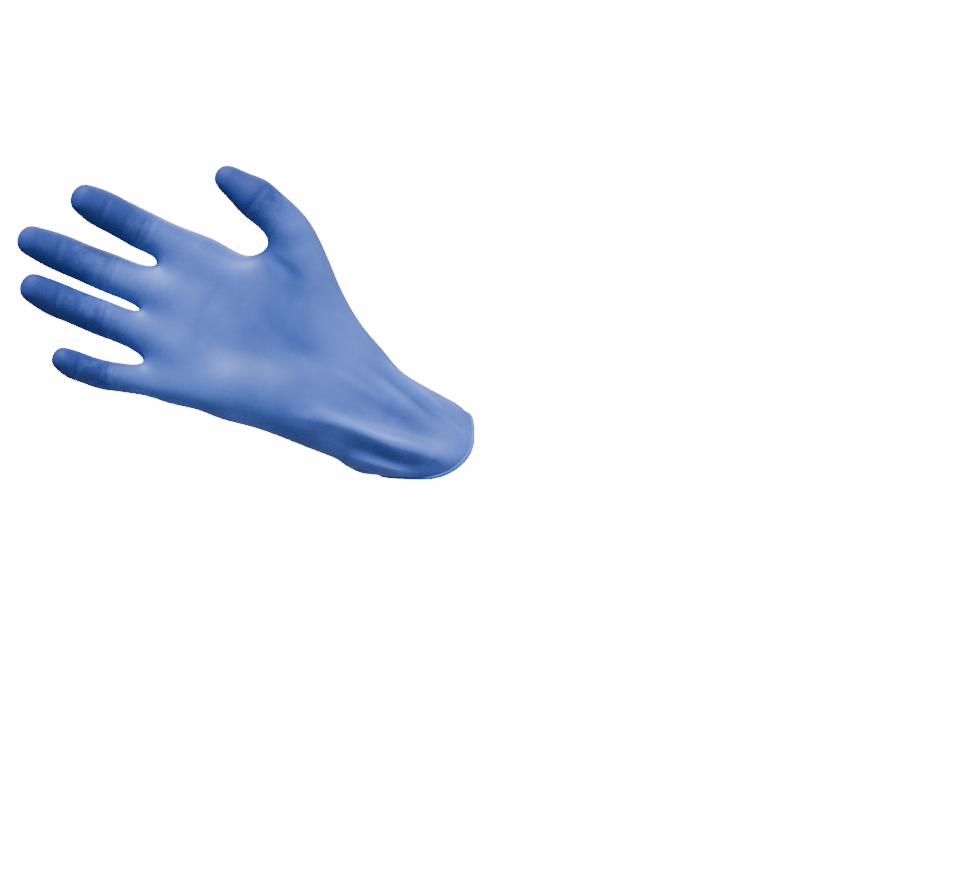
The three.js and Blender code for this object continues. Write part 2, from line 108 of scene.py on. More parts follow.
LIMBS = (
    Limb(
        "little",
        base=Joint(-30.2, 0.0, 79.7, 8.3),
        middle=Joint(-42.6, -6.9, 116.6, 7.6),
        end=Joint(-44.1, -13.7, 131.2, 7.7),
        tip=Joint(-43.6, -17.9, 136.9, 6.3),
    ),
    Limb(
        "ring",
        base=Joint(-12.6, 0.0, 90.2, 9.4),
        middle=Joint(-16.9, -4.3, 131.1, 9.4),
        end=Joint(-18.3, -11.6, 154.9, 9.2),
        tip=Joint(-17.9, -17.3, 166.0, 7.8),
    ),
    Limb(
        "middle",
        base=Joint(8.8, 0.0, 96.0, 10.1),
        middle=Joint(5.6, -3.6, 137.1, 10.3),
        end=Joint(3.9, -10.5, 164.7, 9.8),
        tip=Joint(3.2, -16.3, 177.7, 8.0),
    ),
    Limb(
        "index",
        base=Joint(33.2, 0.0, 93.1, 10.3),
        middle=Joint(32.9, -5.2, 130.1, 10.3),
        end=Joint(33.5, -13.2, 153.4, 9.9),
        tip=Joint(33.8, -18.0, 162.1, 8.1),
    ),
    Limb(
        "thumb",
        base=Joint(39.9, -10.7, 37.5, 14.1),
        middle=Joint(64.1, -15.5, 55.7, 11.1),
        end=Joint(72.1, -19.6, 83.9, 10.3),
        tip=Joint(74.8, -22.0, 100.8, 7.3),
    ),
)

# The folds that the pull draws from the heel of the palm to the place where the cuff narrows.
PULL_FOLDS = (
    Line(((-12, 18), (-11, -4), (-9.5, -20), (-8.5, -35), (-5, -48), (-2, -60)), 1.8, 3.4),
    Line(((-20, 8), (-18, -12), (-16.5, -28), (-14.5, -40), (-11, -54)), -0.9, 3.6, fade=0.5),
    Line(((-26, -8), (-22.5, -26), (-19.5, -42), (-17, -54)), 1.2, 2.4),
    Line(((-30.5, -16), (-27.5, -31), (-23.5, -43), (-20, -53)), -1.4, 2.2),
    Line(((4, 4), (4, -18), (3.5, -36), (2, -52)), -0.8, 4.0, fade=0.5),
    Line(((18, 12), (15.5, -12), (12, -32), (7.5, -52)), 0.8, 3.4, fade=0.5),
    Line(((22.5, 2), (19, -18), (15, -36), (10, -56)), -0.9, 2.4, fade=0.4),
    Line(((26.5, -6), (24, -20), (20.5, -35), (15.5, -55)), 1.7, 2.3, fade=0.3),
    Line(((-8, -22), (-5.5, -33), (-3.5, -42), (-1, -52)), 0.7, 2.4, fade=0.5),
    Line(((-20, 26), (-15, 8), (-13, -8)), 0.4, 2.6),
    Line(((10, 18), (9.5, 0), (8, -22)), 0.35, 2.6),
)

# Shallow creases of the film over the palm and round the fold of the thumb.
PALM_LINES = (
    Line(((6, 2), (12, 20), (14, 38), (24, 54), (38, 64)), -0.7, 5.5, fade=0.5),
    Line(((-22, 76), (-4, 82), (16, 84), (34, 78)), -0.3, 2.4, fade=0.5),
    Line(((46, 40), (47, 52), (50, 66)), -0.5, 1.8),
    Line(((40, 48), (43, 58), (48, 68)), 0.45, 1.8),
    Line(((53, 44), (52, 54), (52, 66)), 0.4, 1.6),
    Line(((-36, 40), (-34, 52), (-35, 66)), -0.35, 2.0),
)

# Creases across the back of the wrist, and on the back of the thumb's fold.
BACK_LINES = (
    Line(((-22, 2), (-4, -2), (20, 2)), -0.6, 2.0, Side.BACK),
    Line(((-20, -8), (0, -12), (18, -8)), 0.6, 2.0, Side.BACK),
    Line(((-20, -16), (-2, -19), (18, -17)), -0.6, 2.0, Side.BACK),
    Line(((-18, -27), (0, -30), (16, -27)), 0.5, 2.0, Side.BACK),
    Line(((38, 46), (42, 56), (48, 66)), 0.5, 2.0, Side.BACK),
    Line(((44, 40), (47, 52), (51, 64)), -0.5, 2.0, Side.BACK),
)


def catmull_rom(points: np.ndarray, step: float) -> np.ndarray:
    """Runs a smooth line through points.

    Args:
        points: The points, one a row.
        step: The greatest distance between two places on the line.

    Returns:
        The places on the line, one a row.
    """
    ends = np.vstack([2 * points[0] - points[1], points, 2 * points[-1] - points[-2]])
    run: list[np.ndarray] = []
    for a, b, c, d in zip(ends, ends[1:], ends[2:], ends[3:]):
        slope = c - a
        bend = 2 * a - 5 * b + 4 * c - d
        twist = 3 * b - a - 3 * c + d
        count = max(2, int(np.linalg.norm(c - b) / step) + 1)
        for t in np.linspace(0, 1, count, endpoint=False):
            run.append(0.5 * (2 * b + slope * t + bend * t**2 + twist * t**3))
    run.append(points[-1])
    return np.array(run)


def smooth_step(t: np.ndarray) -> np.ndarray:
    """Turns a share into one that starts and ends softly."""
    t = np.clip(t, 0, 1)
    return t * t * (3 - 2 * t)


def unit(way: np.ndarray) -> np.ndarray:
    """Gives a way the length 1."""
    return way / np.linalg.norm(way)


def mesh_object(name: str, vertices: np.ndarray, faces: list[tuple[int, ...]]) -> bpy.types.Object:
    """Makes an object of plain geometry at the origin.

    Args:
        name: The object's name.
        vertices: The points in metres, one a row.
        faces: The faces as runs of point numbers.

    Returns:
        The new object, in the scene.
    """
    mesh = bpy.data.meshes.new(name)
    mesh.from_pydata([tuple(v) for v in vertices], [], faces)
    mesh.update()
    made = bpy.data.objects.new(name, mesh)
    bpy.context.scene.collection.objects.link(made)
    return made


def apply_modifiers(made: bpy.types.Object) -> None:
    """Turns an object's modifiers into plain mesh.

    Args:
        made: The object, which keeps no modifier.
    """
    graph = bpy.context.evaluated_depsgraph_get()
    graph.update()
    mesh = bpy.data.meshes.new_from_object(made.evaluated_get(graph))
    made.modifiers.clear()
    old = made.data
    made.data = mesh
    bpy.data.meshes.remove(old)


def shade_smooth(made: bpy.types.Object) -> None:
    """Shades every face of an object smoothly."""
    made.data.polygons.foreach_set("use_smooth", [True] * len(made.data.polygons))


def positions_of(mesh: bpy.types.Mesh) -> np.ndarray:
    """Reads a mesh's points, one a row.

    Args:
        mesh: The mesh.

    Returns:
        The points in metres.
    """
    flat = np.empty(len(mesh.vertices) * 3)
    mesh.vertices.foreach_get("co", flat)
    return flat.reshape(-1, 3)


def normals_of(mesh: bpy.types.Mesh) -> np.ndarray:
    """Reads the way that the surface faces at each of a mesh's points.

    Args:
        mesh: The mesh.

    Returns:
        The ways, each of length 1, one a row.
    """
    flat = np.empty(len(mesh.vertices) * 3)
    mesh.vertex_normals.foreach_get("vector", flat)
    return flat.reshape(-1, 3)


@dataclass(frozen=True)
class GroupSocket:
    """A named input of a shader node group, with the value that it starts from."""

    name: str
    kind: str
    start: float | tuple[float, ...] | None = None


class NodeBuilder:
    """Places nodes in a tree and links them."""

    def __init__(self, tree: bpy.types.NodeTree) -> None:
        """Starts with an empty tree."""
        self.tree = tree
        self.tree.nodes.clear()

    def add(self, kind: str, **settings: object) -> bpy.types.Node:
        """Adds a node of a kind and sets its properties.

        Args:
            kind: The node's type in Blender.
            settings: Its properties by name.

        Returns:
            The new node.
        """
        node = self.tree.nodes.new(kind)
        for name, value in settings.items():
            setattr(node, name, value)
        return node

    def link(self, source: bpy.types.NodeSocket, target: bpy.types.NodeSocket) -> None:
        """Links an output to an input."""
        self.tree.links.new(source, target)

    def feed(self, value: object, target: bpy.types.NodeSocket) -> None:
        """Links an input to a socket, or sets it to a number or a colour.

        Args:
            value: The socket, number or colour.
            target: The input.
        """
        if isinstance(value, bpy.types.NodeSocket):
            self.link(value, target)
        else:
            target.default_value = value

    def math(self, operation: str, *values: object) -> bpy.types.NodeSocket:
        """Adds a sum on sockets or numbers.

        Args:
            operation: The sum's name in Blender.
            values: Its inputs, each a socket or a number.

        Returns:
            The result's socket.
        """
        node = self.add("ShaderNodeMath", operation=operation)
        for socket, value in zip(node.inputs, values):
            self.feed(value, socket)
        return node.outputs[0]

    def noise(
        self, vector: bpy.types.NodeSocket, scale: object, detail: float = 2.0
    ) -> bpy.types.NodeSocket:
        """Adds a noise pattern and returns its height, from 0 to 1.

        Args:
            vector: The place that it is read at.
            scale: Its scale, a socket or a number.
            detail: How many finer layers it has.

        Returns:
            The socket of its height, from 0 to 1.
        """
        node = self.add("ShaderNodeTexNoise")
        self.link(vector, node.inputs["Vector"])
        node.inputs["Detail"].default_value = detail
        self.feed(scale, node.inputs["Scale"])
        return node.outputs["Fac"]

    def mix(self, share: bpy.types.NodeSocket, a: object, b: object) -> bpy.types.NodeSocket:
        """Mixes two colours, each a socket or a colour, by a share.

        Args:
            share: The share of the second colour.
            a: The first colour.
            b: The second colour.

        Returns:
            The mixed colour's socket.
        """
        node = self.add("ShaderNodeMix", data_type="RGBA")
        factor, first, second = node.inputs[0], node.inputs[6], node.inputs[7]
        self.link(share, factor)
        self.feed(a, first)
        self.feed(b, second)
        return node.outputs[2]


def shader_group(
    name: str, sockets: tuple[GroupSocket, ...], outputs: tuple[tuple[str, str], ...]
) -> NodeBuilder:
    """Starts a shader node group with named inputs and outputs.

    Args:
        name: The group's name.
        sockets: Its inputs.
        outputs: Its outputs as names and kinds.

    Returns:
        A builder for the group's tree.
    """
    tree = bpy.data.node_groups.new(name, "ShaderNodeTree")
    for socket in sockets:
        made = tree.interface.new_socket(socket.name, in_out="INPUT", socket_type=socket.kind)
        if socket.start is not None:
            made.default_value = socket.start
    for title, kind in outputs:
        tree.interface.new_socket(title, in_out="OUTPUT", socket_type=kind)
    return NodeBuilder(tree)


@dataclass
class FilmEffects:
    """The effects that every surface of the dipped film shares, as two node groups that are built once."""

    cloud_share: float = 0.75
    cloud_detail: float = 3.0
    fine_share: float = 0.12
    fine_scale: float = 900.0
    # Share of the fold tone: paler crests, partly stretched film and partly painted highlight, and darker
    # valleys as painted shade.
    fold_stretch_and_light_share: float = 0.3
    # The next four set the painted shade on the fingertips' palm side: its strength, its least share and its
    # mottle.
    grip_painted_shade_share: float = 0.7
    painted_shade_floor: float = 0.25
    mottle_scale: float = 210.0
    mottle_detail: float = 3.0
    satin: float = 0.43
    cloud_roughness: float = 0.16
    grip_roughness: float = 0.2
    grain_rise: float = 0.18
    ripple_rise: float = 0.55
    pimple_rise: float = -0.5
    pimple_scale: float = 1300.0

    def __post_init__(self) -> None:
        """Builds the two groups."""
        self.tone = self._tone_group()
        self.grain = self._grain_group()

    def _tone_group(self) -> bpy.types.NodeTree:
        """Builds the colour and the roughness, which change slowly over the film and with its folds. The
        colour carries painted light: paler on fold crests, partly as stretched film and partly as painted
        highlight, and darker in fold valleys and at the fingertips' palm side as painted shade.

        Returns:
            The group's tree.
        """
        builder = shader_group(
            "film_tone",
            (
                GroupSocket("Vector", "NodeSocketVector"),
                GroupSocket("Fold", "NodeSocketFloat", 0.0),
                GroupSocket("Grip And Shade", "NodeSocketFloat", 0.0),
                GroupSocket("Deep", "NodeSocketColor", (0.1, 0.2, 0.6, 1)),
                GroupSocket("Pale", "NodeSocketColor", (0.3, 0.4, 0.8, 1)),
                GroupSocket("Cloud Scale", "NodeSocketFloat", 40.0),
            ),
            (("Color", "NodeSocketColor"), ("Roughness", "NodeSocketFloat")),
        )
        source = builder.add("NodeGroupInput").outputs
        target = builder.add("NodeGroupOutput").inputs
        cloud = builder.noise(source["Vector"], source["Cloud Scale"], self.cloud_detail)
        fine = builder.noise(source["Vector"], self.fine_scale)
        mottle = builder.noise(source["Vector"], self.mottle_scale, self.mottle_detail)
        clouded = builder.math("MULTIPLY", cloud, self.cloud_share)
        share = builder.math("ADD", clouded, builder.math("MULTIPLY", fine, self.fine_share))
        # Painted light: fold crests paler, partly as stretched film and partly as painted highlight; valleys
        # darker as painted shade.
        share = builder.math("ADD", share, builder.math("MULTIPLY", source["Fold"], self.fold_stretch_and_light_share))
        # Painted shade: the fingertips' palm side is darkened, with a mottle, by the grip mask.
        painted_shade_patch = builder.math("MULTIPLY", builder.math("ADD", mottle, self.painted_shade_floor), source["Grip And Shade"])
        share = builder.math("SUBTRACT", share, builder.math("MULTIPLY", painted_shade_patch, self.grip_painted_shade_share))
        limited = builder.add("ShaderNodeClamp")
        builder.link(share, limited.inputs["Value"])
        builder.link(builder.mix(limited.outputs[0], source["Deep"], source["Pale"]), target["Color"])
        rough = builder.math("ADD", self.satin, builder.math("MULTIPLY", cloud, self.cloud_roughness))
        rough = builder.math("ADD", rough, builder.math("MULTIPLY", source["Grip And Shade"], self.grip_roughness))
        builder.link(rough, target["Roughness"])
        return builder.tree

    def _grain_group(self) -> bpy.types.NodeTree:
        """Builds the film's fine relief, which is stronger where the dip leaves a grip texture.

        Returns:
            The group's tree.
        """
        builder = shader_group(
            "film_grain",
            (
                GroupSocket("Vector", "NodeSocketVector"),
                GroupSocket("Grip And Shade", "NodeSocketFloat", 0.0),
                GroupSocket("Grain Scale", "NodeSocketFloat", 1500.0),
                GroupSocket("Ripple Scale", "NodeSocketFloat", 160.0),
            ),
            (("Height", "NodeSocketFloat"),),
        )
        source = builder.add("NodeGroupInput").outputs
        target = builder.add("NodeGroupOutput").inputs
        grain = builder.noise(source["Vector"], source["Grain Scale"])
        ripple = builder.noise(source["Vector"], source["Ripple Scale"])
        pimples = builder.add("ShaderNodeTexVoronoi", feature="SMOOTH_F1")
        builder.link(source["Vector"], pimples.inputs["Vector"])
        pimples.inputs["Scale"].default_value = self.pimple_scale
        rise = builder.math("MULTIPLY", pimples.outputs["Distance"], source["Grip And Shade"])
        grained = builder.math("MULTIPLY", grain, self.grain_rise)
        height = builder.math("ADD", grained, builder.math("MULTIPLY", ripple, self.ripple_rise))
        height = builder.math("ADD", height, builder.math("MULTIPLY", rise, self.pimple_rise))
        builder.link(height, target["Height"])
        return builder.tree


@dataclass(frozen=True)
class NitrileFinish:
    """Blue nitrile: a satin film, deeper at the fingertips and in valleys as painted shade, paler on the
    crest of a fold partly as stretched film and partly as painted highlight.
    """

    # Deep is the low end of the random tone and the colour of the painted shade; pale is the high end and
    # the colour of the painted highlight on fold crests.
    deep: tuple[float, float, float, float] = (0.012, 0.032, 0.2, 1.0)
    pale: tuple[float, float, float, float] = (0.108, 0.212, 0.78, 1.0)
    cloud_scale: float = 26.0
    bump: float = 0.35
    relief: float = 0.00045
    bleed: float = 0.06
    bleed_depths: tuple[float, float, float] = (0.4, 0.6, 1.0)
    bleed_scale: float = 0.0015
    ior: float = 1.5
    gloss: float = 0.42
    gloss_tint: tuple[float, float, float, float] = (0.74, 0.83, 1.0, 1.0)

    def build(self, name: str, effects: FilmEffects) -> bpy.types.Material:
        """Builds the material.

        Args:
            name: The material's name.
            effects: The shared groups.

        Returns:
            The material, ready to assign.
        """
        material = bpy.data.materials.new(name)
        material.use_nodes = True
        builder = NodeBuilder(material.node_tree)
        place = builder.add("ShaderNodeTexCoord")
        fold = builder.add("ShaderNodeAttribute", attribute_name="fold")
        # The grip mask gives both the real grip texture and painted shade on the fingertips' palm side.
        grip_and_shade = builder.add("ShaderNodeAttribute", attribute_name="grip_and_shade")
        tone = builder.add("ShaderNodeGroup", node_tree=effects.tone)
        grain = builder.add("ShaderNodeGroup", node_tree=effects.grain)
        for group in (tone, grain):
            builder.link(place.outputs["Object"], group.inputs["Vector"])
            builder.link(grip_and_shade.outputs["Fac"], group.inputs["Grip And Shade"])
        builder.link(fold.outputs["Fac"], tone.inputs["Fold"])
        tone.inputs["Deep"].default_value = self.deep
        tone.inputs["Pale"].default_value = self.pale
        tone.inputs["Cloud Scale"].default_value = self.cloud_scale
        bump = builder.add("ShaderNodeBump")
        bump.inputs["Strength"].default_value = self.bump
        bump.inputs["Distance"].default_value = self.relief
        builder.link(grain.outputs["Height"], bump.inputs["Height"])
        shader = builder.add("ShaderNodeBsdfPrincipled")
        builder.link(tone.outputs["Color"], shader.inputs["Base Color"])
        builder.link(tone.outputs["Roughness"], shader.inputs["Roughness"])
        builder.link(bump.outputs["Normal"], shader.inputs["Normal"])
        shader.inputs["Subsurface Weight"].default_value = self.bleed
        shader.inputs["Subsurface Radius"].default_value = self.bleed_depths
        shader.inputs["Subsurface Scale"].default_value = self.bleed_scale
        shader.inputs["IOR"].default_value = self.ior
        shader.inputs["Specular IOR Level"].default_value = self.gloss
        shader.inputs["Specular Tint"].default_value = self.gloss_tint
        target = builder.add("ShaderNodeOutputMaterial")
        builder.link(shader.outputs[0], target.inputs["Surface"])
        return material


@dataclass(frozen=True)
class Crease:
    """A fold or crease laid on the film: its places, rise and half width in metres, and its fade."""

    REACH = 3.0
    FEWEST_PLACES = 3

    places: np.ndarray
    height: float
    width: float
    fade: float

    def lift(self, points: np.ndarray) -> np.ndarray:
        """Measures how far the crease lifts each point.

        Args:
            points: The film's points.

        Returns:
            The lift of each point.
        """
        lift = np.zeros(len(points))
        if len(self.places) < self.FEWEST_PLACES:
            return lift
        low = self.places.min(0) - self.REACH * self.width
        high = self.places.max(0) + self.REACH * self.width
        near = np.where(np.all((points > low) & (points < high), axis=1))[0]
        if not len(near):
            return lift
        gaps = np.linalg.norm(points[near, None, :] - self.places[None, :, :], axis=2)
        share = gaps.argmin(1) / (len(self.places) - 1)
        ends = smooth_step(np.minimum(share, 1 - share) / self.fade)
        lift[near] = self.height * np.exp(-((gaps.min(1) / self.width) ** 2)) * ends
        return lift


@dataclass(frozen=True)
class JointCreases:
    """The creases inside and over each joint of the fingers and the thumb. Sizes are in millimetres."""

    half_turn: float = 0.36 * math.pi
    places: int = 26
    fade: float = 0.3
    depth: float = 0.55
    width: float = 1.3
    middle_offsets: tuple[float, ...] = (-1.4, 1.8)
    end_offsets: tuple[float, ...] = (0.0,)
    bow: float = 0.9
    palm_rise: float = -0.97
    knuckle_depth: float = 0.45
    knuckle_width: float = 1.105
    knuckle_offsets: tuple[float, ...] = (-2.6, 0.0, 2.6)
    knuckle_pinch: float = 0.6
    knuckle_rise: float = 0.95
    knuckle_span: float = 0.8

    @staticmethod
    def _arc(
        joint: Joint, heading: np.ndarray, turns: np.ndarray, shift: np.ndarray, rise: float
    ) -> np.ndarray:
        """Lays an arc round a finger at a joint.

        Args:
            joint: The joint.
            heading: The way along the finger there.
            turns: The angle of each place round the finger.
            shift: How far along the finger each place lies.
            rise: The share of the half width at the arc's middle, below zero on the palm's side.

        Returns:
            The places in metres, one a row.
        """
        across = unit(np.cross((0.0, 1.0, 0.0), heading))
        out = np.cross(heading, across)
        round_it = np.outer(np.cos(turns) * rise, out) + np.outer(np.sin(turns), across)
        return (joint.place + np.outer(shift, heading) + joint.half_width * round_it) * MM

    def _at(self, joint: Joint, heading: np.ndarray, offsets: tuple[float, ...]) -> list[Crease]:
        """Makes the creases of one joint.

        Args:
            joint: The joint.
            heading: The way along the finger there.
            offsets: How far along the finger each crease on the palm's side lies from the joint.

        Returns:
            The creases on the palm's side, and then those on the knuckle.
        """
        made = []
        turns = np.linspace(-self.half_turn, self.half_turn, self.places)
        for offset in offsets:
            shift = offset + self.bow * (1 - np.cos(turns))
            arc = self._arc(joint, heading, turns, shift, self.palm_rise)
            made.append(Crease(arc, -self.depth * MM, self.width * MM, self.fade))
        turns = turns * self.knuckle_span
        for offset in self.knuckle_offsets:
            shift = offset * (1 - self.knuckle_pinch + self.knuckle_pinch * np.cos(turns))
            arc = self._arc(joint, heading, turns, shift, self.knuckle_rise)
            made.append(Crease(arc, -self.knuckle_depth * MM, self.knuckle_width * MM, self.fade))
        return made

    def build(self) -> list[Crease]:
        """Makes the creases of every joint.

        Returns:
            The creases, from the little finger to the thumb.
        """
        made = []
        for limb in LIMBS:
            made += self._at(limb.middle, unit(limb.end.place - limb.base.place), self.middle_offsets)
            made += self._at(limb.end, unit(limb.tip.place - limb.middle.place), self.end_offsets)
        return made


@dataclass
class GloveFilm:
    """The film itself, from the cuff's edge to the fingertips.

    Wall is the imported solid's, and film is the thickness that it has here.
    """

    wall: float = 1.0 * MM
    film: float = 0.35 * MM
    levels: int = 2
    merge: float = 0.01 * MM
    partner_reach: float = 1.01
    partner_slack: float = 0.004
    join_angle: float = math.radians(70)
    join_shape: float = math.radians(80)
    edge_passes: int = 5
    even_passes: int = 6
    even_in: float = 0.5
    even_out: float = -0.52
    wave_height: float = 0.35 * MM
    wave_length: float = 22.0 * MM
    trace_step: float = 1.2
    probe_start: float = 0.2
    full_fold: float = 1.4 * MM
    # The next five shape the grip mask, which carries the grip texture and painted shade on the fingertips'
    # palm side.
    full_grip_and_shade: float = 12 * MM
    grip_and_shade_fade: float = 40 * MM
    back_grip_and_shade: float = 0.25
    grip_and_shade_bias: float = 0.6
    grip_and_shade_turn: float = 0.9
    rim: np.ndarray = field(default_factory=lambda: np.zeros((0, 3)))

    def outer_net(self) -> tuple[np.ndarray, list[tuple[int, ...]]]:
        """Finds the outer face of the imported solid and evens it.

        A point of either face has its partner one wall away, and a point of the bead has none, so
        leaving the bead out parts the outer face from the inner one.

        Returns:
            The outer face's points and its faces.
        """
        net = bmesh.new()
        net.from_mesh(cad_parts[NODE].data)
        bmesh.ops.remove_doubles(net, verts=net.verts, dist=self.merge)
        net.verts.ensure_lookup_table()
        bmesh.ops.delete(net, geom=self._lone(net), context="VERTS")
        net.verts.index_update()
        outer = max(self._shells(net), key=self._spread)
        bmesh.ops.delete(net, geom=[v for v in net.verts if v not in outer], context="VERTS")
        bmesh.ops.join_triangles(
            net,
            faces=net.faces,
            angle_face_threshold=self.join_angle,
            angle_shape_threshold=self.join_shape,
        )
        net.verts.index_update()
        self._round_edge(net)
        points = np.array([tuple(v.co) for v in net.verts])
        faces = [tuple(v.index for v in f.verts) for f in net.faces]
        held = np.array([v.is_boundary for v in net.verts])
        net.free()
        log.info("outer net: %d points, %d faces", len(points), len(faces))
        return self._evened(points, faces, held), faces

    def _lone(self, net: bmesh.types.BMesh) -> list[bmesh.types.BMVert]:
        """Finds the points that have no partner one wall away.

        Args:
            net: The solid's net.

        Returns:
            The points, which are those of the bead.
        """
        tree = KDTree(len(net.verts))
        for v in net.verts:
            tree.insert(v.co, v.index)
        tree.balance()
        slack = self.wall * self.partner_slack
        lone = []
        for v in net.verts:
            near = tree.find_range(v.co, self.wall * self.partner_reach)
            if not any(abs(distance - self.wall) < slack for _, _, distance in near):
                lone.append(v)
        return lone

    @staticmethod
    def _shells(net: bmesh.types.BMesh) -> list[set]:
        """Parts a net into its connected shells.

        Args:
            net: The net.

        Returns:
            Each shell's points.
        """
        left = set(net.verts)
        shells = []
        while left:
            start = left.pop()
            shell = {start}
            edge = [start]
            while edge:
                v = edge.pop()
                for e in v.link_edges:
                    other = e.other_vert(v)
                    if other not in shell:
                        shell.add(other)
                        edge.append(other)
            left -= shell
            shells.append(shell)
        return shells

    @staticmethod
    def _spread(shell: set) -> float:
        """Measures the size of a shell's box."""
        points = np.array([tuple(v.co) for v in shell])
        return float(np.prod(points.max(0) - points.min(0)))

    def _round_edge(self, net: bmesh.types.BMesh) -> None:
        """Rounds the corners of the cuff's edge, which the solid's straight steps leave.

        Args:
            net: The outer face, open at the cuff.
        """
        edge = [v for v in net.verts if v.is_boundary]
        beside = {v: [e.other_vert(v) for e in v.link_edges if e.is_boundary] for v in edge}
        for _ in range(self.edge_passes):
            middles = {v: (beside[v][0].co + beside[v][1].co) / 2 for v in edge}
            for v in edge:
                v.co = v.co.lerp(middles[v], 0.5)

    def _evened(self, points: np.ndarray, faces: list[tuple[int, ...]], held: np.ndarray) -> np.ndarray:
        """Evens out the small steps of the solid's net without shrinking it.

        Args:
            points: The net's points.
            faces: Its faces as runs of point numbers.
            held: Which points stay where they are.

        Returns:
            The evened points.
        """
        pairs = np.array(sorted({tuple(sorted(pair)) for f in faces for pair in zip(f, f[1:] + f[:1])}))
        count = np.bincount(pairs.ravel(), minlength=len(points))[:, None]
        even = points.copy()
        for pull in (self.even_in, self.even_out) * self.even_passes:
            total = np.zeros_like(even)
            np.add.at(total, pairs[:, 0], even[pairs[:, 1]])
            np.add.at(total, pairs[:, 1], even[pairs[:, 0]])
            step = total / count - even
            step[held] = 0
            even += pull * step
        return even

    def _laid(self, line: Line, surface: BVHTree) -> Crease:
        """Lays a line on the film.

        Args:
            line: The fold or crease.
            surface: The film's outer face.

        Returns:
            The crease, with its places on the film.
        """
        found = []
        way = Vector((0, line.side.value, 0))
        for x, z in catmull_rom(np.array(line.points, float), self.trace_step):
            start = Vector((x * MM, -self.probe_start * line.side.value, z * MM))
            hit, _, _, _ = surface.ray_cast(start, way)
            if hit is not None:
                found.append(tuple(hit))
        return Crease(np.array(found), line.height * MM, line.width * MM, line.fade)

    def _folds(self, points: np.ndarray, faces: list[tuple[int, ...]]) -> np.ndarray:
        """Measures how far the folds and creases together lift each point.

        Args:
            points: The film's points.
            faces: Its faces as runs of point numbers.

        Returns:
            The lift of each point.
        """
        surface = BVHTree.FromPolygons([Vector(p) for p in points], faces)
        creases = [self._laid(line, surface) for line in PULL_FOLDS + PALM_LINES + BACK_LINES]
        creases += JointCreases().build()
        folds = np.zeros(len(points))
        for crease in creases:
            folds += crease.lift(points)
        return folds

    def _waves(self, points: np.ndarray) -> np.ndarray:
        """Measures the slow unevenness of the film at each point."""
        return np.array([noise(Vector(p)) for p in points / self.wave_length]) * self.wave_height

    def _grip_and_shade(self, points: np.ndarray, normals: np.ndarray) -> np.ndarray:
        """Measures how strong the grip texture is: full at the fingertips' palm side, none at the palm. The
        material also darkens the colour by it, as painted shade on the fingertips' palm side.

        Args:
            points: The film's points.
            normals: The way that each faces.

        Returns:
            The strength at each point, from 0 to 1.
        """
        grip_and_shade = np.zeros(len(points))
        for limb in LIMBS:
            distance = np.linalg.norm(points - limb.tip.place * MM, axis=1)
            grip_and_shade = np.maximum(grip_and_shade, 1 - smooth_step((distance - self.full_grip_and_shade) / self.grip_and_shade_fade))
        palmwards = smooth_step(self.grip_and_shade_bias - self.grip_and_shade_turn * normals[:, 1])
        return grip_and_shade * (self.back_grip_and_shade + (1 - self.back_grip_and_shade) * palmwards)

    def _edge(self, mesh: bpy.types.Mesh, points: np.ndarray, normals: np.ndarray) -> np.ndarray:
        """Follows the film's edge round the cuff.

        Args:
            mesh: The film before it has a thickness.
            points: Its points.
            normals: The way that each faces.

        Returns:
            The middle of the film's thickness along the edge, one place a row.
        """
        net = bmesh.new()
        net.from_mesh(mesh)
        follow: dict[int, list[int]] = {}
        for e in net.edges:
            if e.is_boundary:
                a, b = e.verts
                follow.setdefault(a.index, []).append(b.index)
                follow.setdefault(b.index, []).append(a.index)
        net.free()
        start = next(iter(follow))
        run = [start]
        last = -1
        while len(run) <= len(follow):
            ahead = next(v for v in follow[run[-1]] if v != last)
            if ahead == start:
                break
            last = run[-1]
            run.append(ahead)
        return points[run] - normals[run] * self.film / 2

    @staticmethod
    def _mark(mesh: bpy.types.Mesh, name: str, values: np.ndarray) -> None:
        """Keeps a value for each point of a mesh, for the material to read."""
        mesh.attributes.new(name, "FLOAT", "POINT").data.foreach_set("value", values)

    def build(self, material: bpy.types.Material) -> bpy.types.Object:
        """Builds the film as a thin shell, and leaves its edge in rim for the bead.

        Args:
            material: Its finish.

        Returns:
            The film.
        """
        film = mesh_object("glove_film", *self.outer_net())
        smooth = film.modifiers.new("smooth", "SUBSURF")
        smooth.levels = smooth.render_levels = self.levels
        apply_modifiers(film)
        points = positions_of(film.data)
        normals = normals_of(film.data)
        folds = self._folds(points, [tuple(p.vertices) for p in film.data.polygons])
        moved = points + normals * (self._waves(points) + folds)[:, None]
        film.data.vertices.foreach_set("co", moved.ravel())
        film.data.update()
        # The fold lift also drives the painted highlight on crests and the painted shade in valleys.
        self._mark(film.data, "fold", np.clip(folds / self.full_fold, -1, 1))
        # Grip mask: the real grip texture, and painted shade in the colour.
        self._mark(film.data, "grip_and_shade", self._grip_and_shade(points, normals))
        self.rim = self._edge(film.data, moved, normals)
        film.data.materials.append(material)
        shell = film.modifiers.new("thickness", "SOLIDIFY")
        shell.thickness = self.film
        shell.offset = -1.0
        shell.use_even_offset = False
        apply_modifiers(film)
        shade_smooth(film)
        return film


